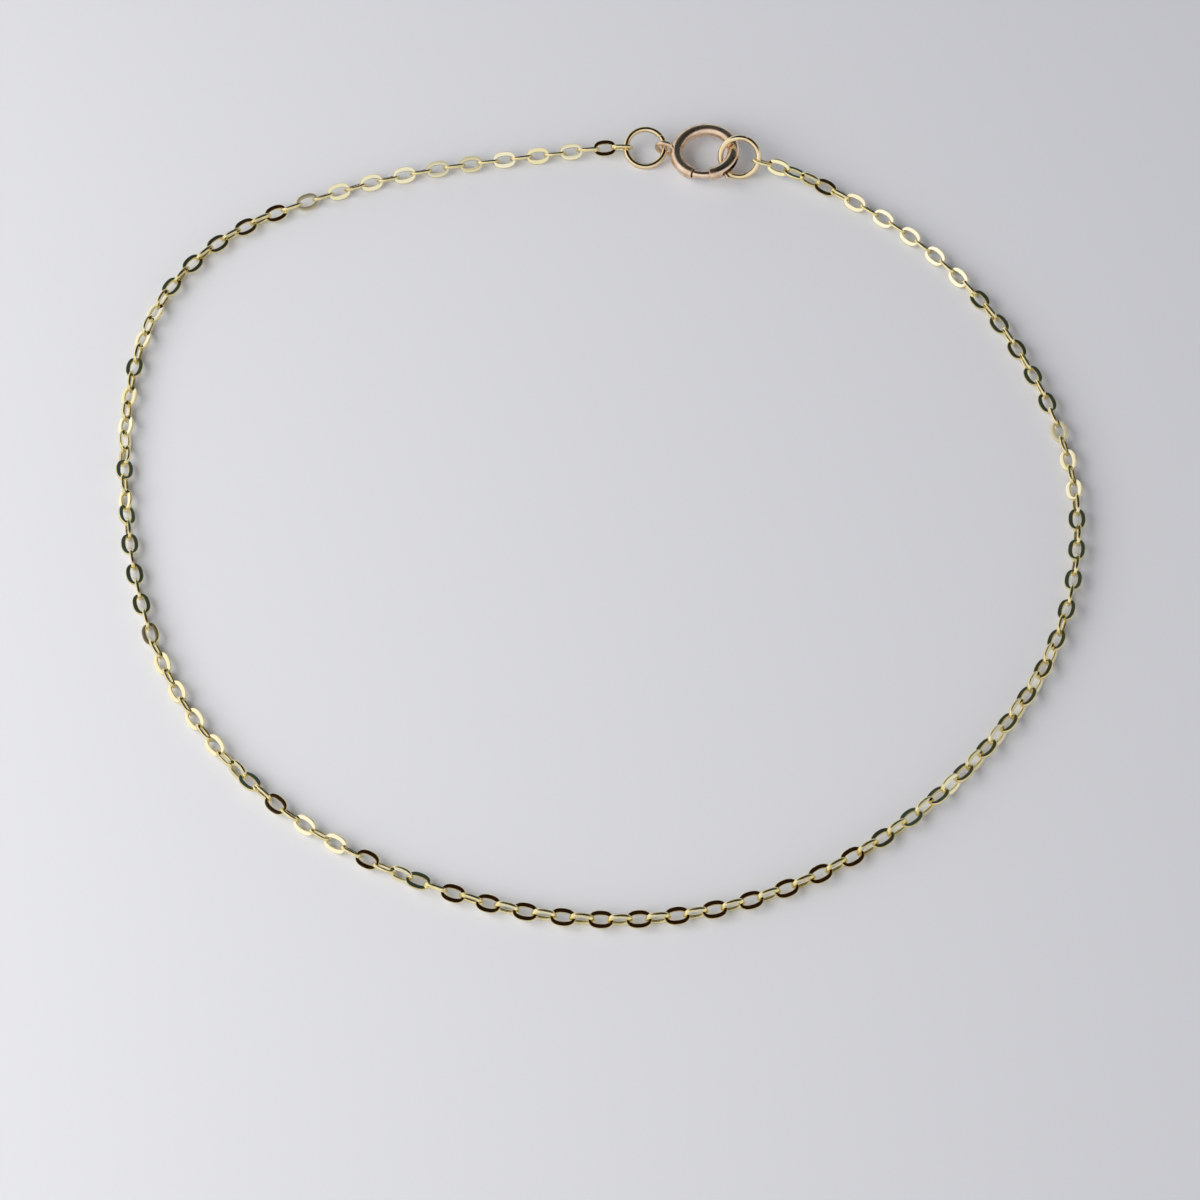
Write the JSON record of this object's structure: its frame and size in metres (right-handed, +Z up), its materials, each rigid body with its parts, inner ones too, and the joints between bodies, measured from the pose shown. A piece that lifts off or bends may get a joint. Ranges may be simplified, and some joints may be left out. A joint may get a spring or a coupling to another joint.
{
  "type": "cable chain bracelet",
  "caption": "Fine gold bracelet of flat oval cable links, fastened in a loop by a spring ring clasp between two round jump rings.",
  "frame": {"origin": "middle of the bounding box, on the surface that the bracelet lies on", "axes": "+Z up from that surface, +Y towards the clasp, +X to the right with the clasp at the back"},
  "size_m": [0.0577, 0.0563, 0.0021],
  "materials": {
    "chain_gold": "polished",
    "ring_gold": "polished",
    "clasp_gold": "polished"
  },
  "bodies": {
    "bracelet": {"chain_left": "chain_gold", "chain_right": "chain_gold", "eye_ring": "ring_gold", "end_ring": "ring_gold", "clasp_body": "clasp_gold"},
    "bolt": {"clasp_bolt": "clasp_gold"}
  },
  "joints": [
    {"name": "bolt_draw", "type": "hinge", "parent": "bracelet", "child": "bolt", "pos_m": [0.00675, 0.02596, 0.00088], "axis": [-0.0874, 0.0181, 0.996], "range_deg": [0, 38], "stiffness_Nm_per_rad": 0.0007, "springref_deg": -11.46}
  ]
}
